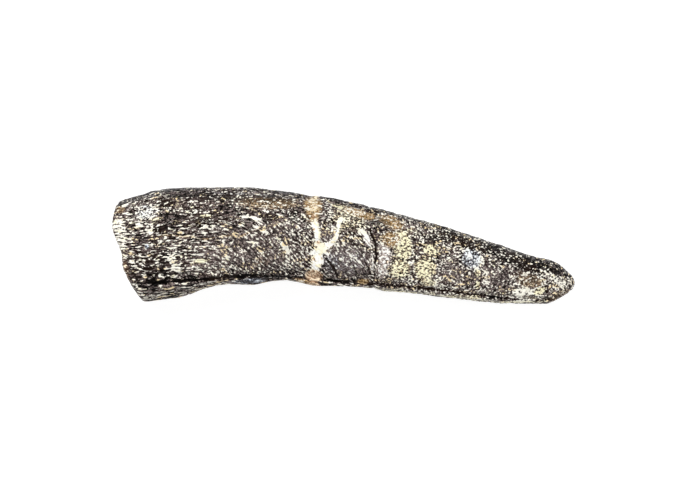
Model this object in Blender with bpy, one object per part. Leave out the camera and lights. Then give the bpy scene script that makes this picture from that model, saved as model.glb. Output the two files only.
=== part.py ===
"""A fossil sauropod tooth, lying on its side: one solid, in metres, +Z up.

X runs from the broken root to the worn tip and Y from the concave tongue side to the convex
lip side. The origin is under the middle of the tooth, on the surface that it lies on.

The skin is one grid. Its rings run from the break at the root, through the mineral vein and
the old crack, to the tip. Its columns follow the two cutting edges, so the grid's lines lie
along every feature.
"""

import math

import bmesh
import bpy
import numpy as np
from mathutils import Vector, noise

MM = 0.001  # every length below is in millimetres, until build_mesh writes metres

# Driving dimensions. x is measured from the root's outermost point.
LENGTH = 52.0
LABIAL_EDGE = [  # (x, y) of the convex lip side, seen from above
    (0.0, 4.9), (3.9, 6.0), (10.5, 6.4), (18.9, 6.15), (26.7, 4.8),
    (34.6, 2.85), (42.4, 0.4), (48.0, -1.45), (52.0, -2.1),
]
LINGUAL_EDGE = [  # (x, y) of the concave tongue side
    (0.0, -6.9), (4.0, -6.3), (7.7, -5.7), (13.2, -4.3), (15.7, -4.45), (18.9, -3.9),
    (22.8, -4.5), (26.7, -4.6), (34.6, -5.55), (45.2, -6.65), (48.6, -6.6), (52.0, -6.4),
]
DEPTH = [(0.0, 9.0), (13.0, 9.2), (27.0, 8.3), (38.0, 6.7), (47.0, 4.9), (52.0, 3.9)]  # (x, height)
FLATTENED = 0.14  # how far the underside is worn flat where the tooth rests

# The tip closes over this length, more pointed than a half circle, which would be power 2.
TIP_LENGTH = 3.3
TIP_POWER = 1.6

# Squareness of the section: 2 is an ellipse. The tongue side is the flatter one.
LABIAL_POWER = 2.05
LINGUAL_POWER = 2.6

# The two cutting edges, one above and one below the tongue side. A groove runs along each, then
# a crest. Angles are in degrees from the lip side.
GROOVE_ANGLE = [(0.0, 127.0), (6.0, 133.0), (14.0, 143.0), (40.0, 141.0), (52.0, 143.0)]
CREST_STEP = 10.0
GROOVE_DEPTH = 0.26
CREST_HEIGHT = 0.12
EDGE_WIDTH = 4.5

# Lines across the tooth: (across, x), where across is -1 at the tongue side and 1 at the lip side.
BREAK_LINE = [
    (-1.0, 3.6), (-0.76, 2.3), (-0.5, 1.35), (0.0, 1.0), (0.5, 0.2), (0.78, 0.0), (0.92, 0.45), (1.0, 1.3),
]
VEIN_LINE = [(-1.0, 22.75), (-0.56, 22.8), (-0.1, 23.3), (0.27, 22.9), (0.6, 22.5), (1.0, 22.35)]
CRACK_LINE = [(-1.0, 29.3), (-0.6, 29.45), (-0.2, 29.65), (0.1, 29.5), (0.36, 28.95), (1.0, 28.8)]
RIM_CHIPS, RIM_CHIP_COUNT = 0.22, 5.0  # how far chips bite into the rim, and about how many
CRACK_DEPTH, CRACK_WIDTH, CRACK_AT_EDGES = 0.34, 0.28, 0.3
VEIN_DEPTH, VEIN_WIDTH = 0.12, 0.55
PLUG_HEIGHT, PLUG_WIDTH, PLUG_ANGLE, PLUG_SPREAD = 0.2, 0.8, 180.0, 32.0  # iron-stained lump on the vein

# The root has lost its outer layer as far as this line, which is nearest the break on the tongue side.
LEDGE_X, LEDGE_SWING, LEDGE_LEAN, LEDGE_DROP, LEDGE_RAMP = 3.1, 1.4, 60.0, 0.3, 0.5

# Long folds of the wrinkled enamel, and the broad unevenness under them.
FOLD_HEIGHT, FOLD_LENGTH, FOLD_SPACING = 0.32, 8.0, 1.05
FOLDS_FADE = (24.0, 38.0)  # the folds turn into low grains between these two x
GRAIN_SHARE = 0.55
LUMP_HEIGHT, LUMP_SIZE = 0.14, 5.5

# The broken face: (share of the way out from the middle, how deep it lies behind the rim).
BREAK_FACE = [
    (0.94, 0.04), (0.84, 0.12), (0.68, 0.22), (0.5, 0.3), (0.34, 0.4), (0.26, 0.55), (0.19, 1.2), (0.0, 1.4),
]
BREAK_STEPS = ((0.3, 2.4), (0.14, 0.8))  # (height, size) of the coarse and fine fracture steps

# Rings between each pair of lines, and columns between the labial middle, the groove, the crest
# and the lingual middle.
RING_COUNTS = (26, 8, 29)
TIP_EASING = 1.55
BESIDE_LINE = 0.42  # extra rings this far on each side of the vein and of the crack
HALF_COLUMNS = (24, 2, 6)


def curve_through(stations):
    """A smooth function that passes through (position, value) stations."""
    places, values = np.array(stations, float).T
    slopes = np.gradient(values, places)

    def curve(at):
        at = np.clip(at, places[0], places[-1])
        k = np.clip(np.searchsorted(places, at) - 1, 0, len(places) - 2)
        step = places[k + 1] - places[k]
        t = (at - places[k]) / step
        rise = values[k] * (1 + 2 * t) * (1 - t) ** 2 + values[k + 1] * (3 - 2 * t) * t**2
        lean = slopes[k] * t * (1 - t) ** 2 - slopes[k + 1] * (1 - t) * t**2
        return rise + lean * step

    return curve


def smooth_step(low, high, value):
    """0 below low, 1 above high, and an even ramp between."""
    t = np.clip((value - low) / (high - low), 0, 1)
    return t * t * (3 - 2 * t)


def bump(distance, width):
    """A rounded hill of height 1, about twice width across."""
    return np.exp(-((distance / width) ** 2))


def noise_at(x, y, z):
    """Smooth noise from -1 to 1 at each point of three arrays."""
    points = np.stack(np.broadcast_arrays(x, y, z), axis=-1)
    values = [noise.noise(Vector(p)) for p in points.reshape(-1, 3)]
    return np.array(values).reshape(points.shape[:-1])


labial_edge = curve_through(LABIAL_EDGE)
lingual_edge = curve_through(LINGUAL_EDGE)
depth_at = curve_through(DEPTH)
groove_angle = curve_through(GROOVE_ANGLE)
break_line = curve_through(BREAK_LINE)
vein_line = curve_through(VEIN_LINE)
crack_line = curve_through(CRACK_LINE)


def rim_x(across, angle):
    """Where the broken root's rim lies, chips included."""
    turn = RIM_CHIP_COUNT / math.tau
    chips = noise_at(turn * np.cos(angle), turn * np.sin(angle), 0.5)
    return break_line(across) + RIM_CHIPS * np.maximum(chips, 0)


def tip_closing(x):
    """1 along the body, falling to 0 at the tip."""
    t = np.clip((x - LENGTH + TIP_LENGTH) / TIP_LENGTH, 0, 1)
    return (1 - t**TIP_POWER) ** (1 / TIP_POWER)


def smooth_radius(x, angle):
    """The distance from the tooth's axis to its smooth outer form."""
    closing = np.maximum(tip_closing(x), 1e-6)
    half_width = (labial_edge(x) - lingual_edge(x)) / 2 * closing
    half_depth = depth_at(x) / 2 * closing
    power = (LABIAL_POWER + LINGUAL_POWER) / 2 + (LABIAL_POWER - LINGUAL_POWER) / 2 * np.cos(angle)
    beyond = np.abs(np.cos(angle) / half_width) ** power + np.abs(np.sin(angle) / half_depth) ** power
    return beyond ** (-1 / power)


def cutting_edges(x, angle):
    """The groove and crest of both cutting edges, which mirror each other in height."""
    from_lip = np.degrees(np.abs(np.arctan2(np.sin(angle), np.cos(angle))))
    past_groove = from_lip - groove_angle(x)
    groove = GROOVE_DEPTH * bump(past_groove, EDGE_WIDTH)
    crest = CREST_HEIGHT * bump(past_groove - CREST_STEP, 1.3 * EDGE_WIDTH)
    return crest - groove


def worn_root(x, angle):
    """The step down to the layer under the enamel, near the break."""
    edge = LEDGE_X + LEDGE_SWING * np.cos(angle - math.radians(LEDGE_LEAN))
    wander = noise_at(2 * np.cos(angle), 2 * np.sin(angle), 8.5)
    return -LEDGE_DROP * (1 - smooth_step(edge + wander - LEDGE_RAMP, edge + wander + LEDGE_RAMP, x))


def vein_and_crack(x, angle):
    """The vein's sunken filling with its iron-stained plug, and the open crack."""
    across = np.cos(angle)
    from_vein = x - vein_line(across)
    from_plug = np.degrees(angle) - PLUG_ANGLE
    vein = -VEIN_DEPTH * bump(from_vein, VEIN_WIDTH)
    plug = PLUG_HEIGHT * bump(from_vein, PLUG_WIDTH) * bump(from_plug, PLUG_SPREAD)
    open_share = CRACK_AT_EDGES + (1 - CRACK_AT_EDGES) * np.abs(np.sin(angle))
    crack = -CRACK_DEPTH * open_share * bump(x - crack_line(across), CRACK_WIDTH)
    return vein + plug + crack


def enamel_relief(x, y, z):
    """Long folds towards the root, low grains towards the tip, and broad lumps everywhere."""
    folds = noise_at(x / FOLD_LENGTH, y / FOLD_SPACING, z / FOLD_SPACING)
    grains = noise_at(x / FOLD_SPACING + 40, y / FOLD_SPACING, z / FOLD_SPACING)
    lumps = noise_at(x / LUMP_SIZE, y / LUMP_SIZE + 20, z / LUMP_SIZE)
    fade = smooth_step(*FOLDS_FADE, x)
    wrinkles = FOLD_HEIGHT * ((1 - fade) * folds + GRAIN_SHARE * fade * grains)
    return (wrinkles + LUMP_HEIGHT * lumps) * np.minimum(1, 2 * tip_closing(x))


def skin_points(x, angle, share=1.0):
    """Points of the skin at x and angle or, with a share under 1, on the way in to the axis."""
    smooth = smooth_radius(x, angle)
    middle_y = (labial_edge(x) + lingual_edge(x)) / 2
    middle_z = depth_at(x) / 2 - FLATTENED
    relief = cutting_edges(x, angle) + worn_root(x, angle) + vein_and_crack(x, angle)
    relief = relief * tip_closing(x) + enamel_relief(x, smooth * np.cos(angle), smooth * np.sin(angle))
    radius = share * (smooth + relief)
    height = np.maximum(middle_z + radius * np.sin(angle), 0.0)
    return np.stack([x, middle_y + radius * np.cos(angle), height], axis=-1)


def ring_positions():
    """Ring numbers from 0 at the break, through 1 at the vein and 2 at the crack, to 3 at the tip."""
    rings = [k + np.arange(n) / n for k, n in enumerate(RING_COUNTS[:2])]
    towards_tip = 1 - (1 - np.arange(RING_COUNTS[2]) / RING_COUNTS[2]) ** TIP_EASING
    spans = np.diff([0.0, np.mean(VEIN_LINE, 0)[1], np.mean(CRACK_LINE, 0)[1], LENGTH])
    beside = [k + side * BESIDE_LINE / spans[k - (side < 0)] for k in (1, 2) for side in (-1, 1)]
    return np.sort(np.concatenate([*rings, 2 + towards_tip, beside]))


def ring_x(ring, angle):
    """Where a ring lies at each angle: between the two lines on either side of it."""
    across = np.cos(angle)
    tip = np.full_like(across, LENGTH)
    lines = [rim_x(across, angle), vein_line(across), crack_line(across), tip]
    k = min(int(ring), 2)
    return lines[k] + (ring - k) * (lines[k + 1] - lines[k])


def column_angles(x):
    """The angle of every column at x, in radians: the lip side, over the top, round underneath."""
    groove = float(groove_angle(x))
    keys = [0.0, groove, groove + CREST_STEP, 180.0]
    half = [np.linspace(a, b, n, endpoint=False) for a, b, n in zip(keys, keys[1:], HALF_COLUMNS)]
    half = np.concatenate(half)
    return np.radians(np.concatenate([half, [180.0], 360 - half[:0:-1]]))


def skin_rings():
    """The outer rings, from the rim of the break to the last one before the tip."""
    rings = []
    for ring in ring_positions():
        middle_x = float(np.mean(ring_x(ring, np.radians([0.0, 90.0, 180.0]))))
        angles = column_angles(middle_x)
        rings.append(skin_points(ring_x(ring, angles), angles))
    return rings


def break_rings():
    """Rings of the broken face, from the pulp cavity's pit out to just inside the rim."""
    angles = column_angles(0.0)
    rings = []
    for share, depth in BREAK_FACE[-2::-1]:
        points = skin_points(rim_x(np.cos(angles), angles), angles, share)
        steps = sum(h * noise_at(points[:, 1] / s, points[:, 2] / s, 3.5) for h, s in BREAK_STEPS)
        points[:, 0] = rim_x(share * np.cos(angles), angles) + depth + (1 - share) ** 0.5 * steps
        rings.append(points)
    return rings


def build_mesh(name):
    """The closed skin: rings joined in order, a fan at the tip and another in the pulp's pit."""
    rings = np.array(break_rings() + skin_rings())
    pit = rings[0].mean(axis=0)
    pit[0] = float(break_line(0.0)) + BREAK_FACE[-1][1]
    tip = skin_points(np.array([LENGTH]), np.array([0.0]))[0]

    low, high = rings.min(axis=(0, 1)), np.maximum(rings.max(axis=(0, 1)), tip)
    origin = np.array([(low[0] + high[0]) / 2, (low[1] + high[1]) / 2, 0.0])

    mesh = bmesh.new()
    grid = [[mesh.verts.new((p - origin) * MM) for p in ring] for ring in rings]
    count = len(grid[0])
    for near, far in zip(grid, grid[1:]):
        for j in range(count):
            k = (j + 1) % count
            mesh.faces.new((near[j], near[k], far[k], far[j]))
    for end, pole in ((grid[0], pit), (grid[-1], tip)):
        middle = mesh.verts.new((pole - origin) * MM)
        for j in range(count):
            mesh.faces.new((middle, end[j], end[(j + 1) % count]))
    bmesh.ops.recalc_face_normals(mesh, faces=mesh.faces)
    data = bpy.data.meshes.new(name)
    mesh.to_mesh(data)
    mesh.free()
    return data


def enamel_material():
    """Dark brown-grey fossil enamel with a low gloss."""
    material = bpy.data.materials.new("fossil_enamel")
    material.use_nodes = True
    shader = material.node_tree.nodes["Principled BSDF"]
    shader.inputs["Base Color"].default_value = (0.19, 0.16, 0.145, 1.0)
    shader.inputs["Roughness"].default_value = 0.5
    shader.inputs["Metallic"].default_value = 0.0
    return material


def main():
    for obj in list(bpy.data.objects):
        bpy.data.objects.remove(obj)
    data = build_mesh("tooth")
    data.shade_smooth()
    data.set_sharp_from_angle(angle=math.radians(50))
    data.materials.append(enamel_material())
    tooth = bpy.data.objects.new("tooth", data)
    bpy.context.scene.collection.objects.link(tooth)


main()
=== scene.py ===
"""Looks for a fossil sauropod tooth: its enamel's wrinkles, mineral vein, crack and colours.

The tooth is one piece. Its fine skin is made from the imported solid: the solid is remeshed finely,
the enamel's relief is pushed into it, and what lies where on the tooth (vein, crack, stains, pale
deposits) is stored on its points as named attributes, which the material's nodes read.

Places are in millimetres in the tooth's own frame: x towards the tip, y towards the lip side and
z up. On the hidden underside the same kinds of marks are placed by their own entries in the lists.
"""

import math

import bmesh
import bpy
import numpy as np
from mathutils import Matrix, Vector, noise
from mathutils.bvhtree import BVHTree
from mathutils.kdtree import KDTree


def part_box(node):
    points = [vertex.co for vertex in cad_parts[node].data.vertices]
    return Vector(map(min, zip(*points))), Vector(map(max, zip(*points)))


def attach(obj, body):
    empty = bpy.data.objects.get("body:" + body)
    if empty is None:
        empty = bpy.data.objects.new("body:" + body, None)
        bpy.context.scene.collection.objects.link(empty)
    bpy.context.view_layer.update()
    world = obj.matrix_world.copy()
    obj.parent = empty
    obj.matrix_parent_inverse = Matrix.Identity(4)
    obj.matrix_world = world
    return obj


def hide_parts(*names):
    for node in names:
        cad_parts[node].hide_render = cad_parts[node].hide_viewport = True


MM = 0.001
TOP, UNDER = 1, -1

# -------------------- what lies where

# Lines on the skin: the side that each lies on, and (x, y, width) at each of its stops.
VEIN = [
    (TOP, [
        (-3.3, 6.4, 0.5), (-3.0, 5.6, 0.6), (-3.5, 5.0, 0.8), (-3.2, 4.3, 0.9), (-3.5, 3.6, 0.8),
        (-3.3, 2.9, 0.75), (-3.1, 2.2, 0.73), (-2.9, 1.4, 0.78), (-2.9, 0.8, 0.62), (-2.9, 0.2, 0.67),
    ]),
    (TOP, [
        (-0.2, 3.1, 0.35), (-0.5, 2.6, 0.45), (-0.6, 1.8, 0.45), (-0.8, 1.1, 0.4), (-1.1, 0.5, 0.5),
        (-1.7, 0.0, 0.62), (-2.4, -0.4, 0.9),
    ]),
    (TOP, [
        (-2.5, -0.1, 1.23), (-2.7, -0.8, 1.46), (-2.9, -1.5, 1.46), (-3.1, -2.2, 1.12),
        (-3.2, -2.8, 0.9), (-3.3, -3.8, 0.8), (-3.2, -4.6, 0.6),
    ]),
    (TOP, [(-1.1, 1.7, 0.12), (-0.5, 1.75, 0.16), (0.5, 1.7, 0.08)]),
    (TOP, [(-2.3, -0.5, 0.45), (-1.7, -1.0, 0.22)]),
    (UNDER, [
        (-3.2, -4.6, 0.6), (-3.1, -3.4, 0.9), (-3.5, -2.0, 1.0), (-2.9, -0.6, 0.6), (-3.2, 0.8, 0.9),
        (-2.8, 2.2, 0.5), (-3.3, 3.6, 0.8), (-3.4, 5.4, 0.4), (-3.3, 6.4, 0.5),
    ]),
    (UNDER, [(-2.9, -0.6, 0.5), (-1.6, 0.6, 0.35), (-0.9, 2.4, 0.4), (-1.2, 3.8, 0.2)]),
]
CRACK = [
    (TOP, [
        (3.4, 4.3, 0.05), (3.3, 3.6, 0.06), (3.0, 2.9, 0.05), (3.0, 2.2, 0.08), (3.0, 1.6, 0.14),
        (3.2, 1.1, 0.22), (3.6, 0.4, 0.14), (3.6, -0.5, 0.14), (3.7, -1.0, 0.18), (3.6, -1.8, 0.13),
        (3.5, -2.3, 0.1), (3.5, -2.9, 0.1), (3.4, -3.6, 0.05), (3.4, -4.6, 0.05),
    ]),
    (UNDER, [
        (3.4, -4.9, 0.12), (3.2, -3.4, 0.2), (3.5, -1.6, 0.22), (3.1, 0.2, 0.2), (3.3, 1.8, 0.16),
        (2.9, 3.4, 0.16), (2.9, 4.9, 0.1),
    ]),
]
CREASES = [  # dark folds in the slab between the vein and the crack
    (TOP, [(-2.0, -1.4, 0.2), (-1.2, -2.3, 0.3), (-0.7, -3.4, 0.24)]),
    (TOP, [(0.7, 0.6, 0.18), (1.5, -0.1, 0.18)]),
    (TOP, [(0.8, -1.7, 0.18), (1.2, -2.4, 0.2), (1.6, -3.4, 0.18)]),
    (TOP, [(2.4, -1.7, 0.16), (3.1, -3.3, 0.2)]),
    (TOP, [(-0.3, -1.8, 0.14), (0.6, -3.7, 0.14)]),
    (UNDER, [(0.2, 2.6, 0.12), (1.4, 0.2, 0.2), (2.0, -1.9, 0.12)]),
]
GROOVE_STOPS = [  # along both cutting edges, above the tongue side; cut, and darkened in colour as painted shade
    (-22.8, -4.4, 0.14), (-21.7, -4.2, 0.16), (-16.1, -3.8, 0.26), (-10.5, -3.4, 0.26),
    (-4.9, -3.6, 0.22), (0.7, -4.0, 0.2), (6.3, -4.5, 0.17), (11.9, -5.1, 0.14), (17.5, -5.8, 0.1),
    (22.0, -6.3, 0.08),
]
GROOVE = [(TOP, GROOVE_STOPS), (UNDER, GROOVE_STOPS)]
HAIRLINE = [
    (TOP, [
        (-20.6, 1.0, 0.11), (-19.9, 1.2, 0.17), (-18.8, 1.2, 0.13), (-18.0, 1.0, 0.2),
        (-16.9, 1.1, 0.17), (-16.3, 0.8, 0.1), (-15.4, 0.7, 0.15), (-14.5, 0.9, 0.11),
        (-13.6, 1.1, 0.15), (-12.2, 1.1, 0.11), (-11.6, 0.9, 0.17), (-10.8, 1.4, 0.11),
        (-9.8, 1.8, 0.11), (-9.1, 2.2, 0.11),
    ]),
    (UNDER, [(-14.0, -1.8, 0.1), (-11.0, -0.4, 0.12), (-7.5, 0.2, 0.1), (-5.0, 1.2, 0.1)]),
]
WHITE_LINES = [  # mineral in thin cracks and in single wrinkles
    (TOP, [
        (1.5, 1.9, 0.1), (2.3, 1.3, 0.2), (2.9, 0.4, 0.14), (3.2, -0.7, 0.12), (3.3, -1.6, 0.12),
        (3.3, -2.6, 0.1), (3.1, -3.5, 0.1),
    ]),
    (TOP, [(-9.3, 1.7, 0.16), (-8.5, 1.45, 0.18)]),
    (TOP, [(-7.9, 1.0, 0.14), (-7.3, 0.7, 0.16)]),
    (TOP, [(-10.6, 0.4, 0.22), (-9.6, 0.3, 0.27)]),
    (TOP, [(-7.0, 0.4, 0.25), (-6.5, -0.2, 0.6), (-6.1, -0.7, 0.45)]),
    (TOP, [(-6.2, -1.5, 0.14), (-6.1, -1.9, 0.16)]),
    (TOP, [(-12.3, 1.3, 0.18), (-11.6, 0.9, 0.2)]),
    (TOP, [(-16.9, -1.0, 0.13), (-16.3, -1.0, 0.17), (-15.5, -1.0, 0.13)]),
    (TOP, [(-20.0, -0.1, 0.13), (-19.2, -0.3, 0.16), (-18.2, -0.1, 0.12)]),
    (TOP, [(-16.5, -0.1, 0.13), (-15.4, -0.1, 0.16)]),
    (TOP, [(0.7, -1.1, 0.18), (1.5, -1.4, 0.22), (1.8, -1.9, 0.25)]),
    (TOP, [(-12.2, 3.3, 0.1), (-10.3, 3.15, 0.22), (-9.1, 2.4, 0.2)]),
    (TOP, [(-16.1, 2.5, 0.13), (-15.2, 2.0, 0.13)]),
    (TOP, [(-3.8, 5.1, 0.16), (-2.2, 5.2, 0.18)]),
    (UNDER, [(-16.0, 2.4, 0.14), (-14.6, 2.2, 0.2), (-13.2, 2.3, 0.14)]),
    (UNDER, [(3.6, -3.0, 0.14), (3.9, -1.6, 0.2), (3.6, -0.4, 0.14)]),
    (UNDER, [(-8.2, -1.0, 0.16), (-7.4, -1.7, 0.26), (-6.8, -2.4, 0.16)]),
]

LINES = {"vein": VEIN, "crack": CRACK, "crease": CREASES, "groove": GROOVE, "hairline": HAIRLINE,
         "white_line": WHITE_LINES}

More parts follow.
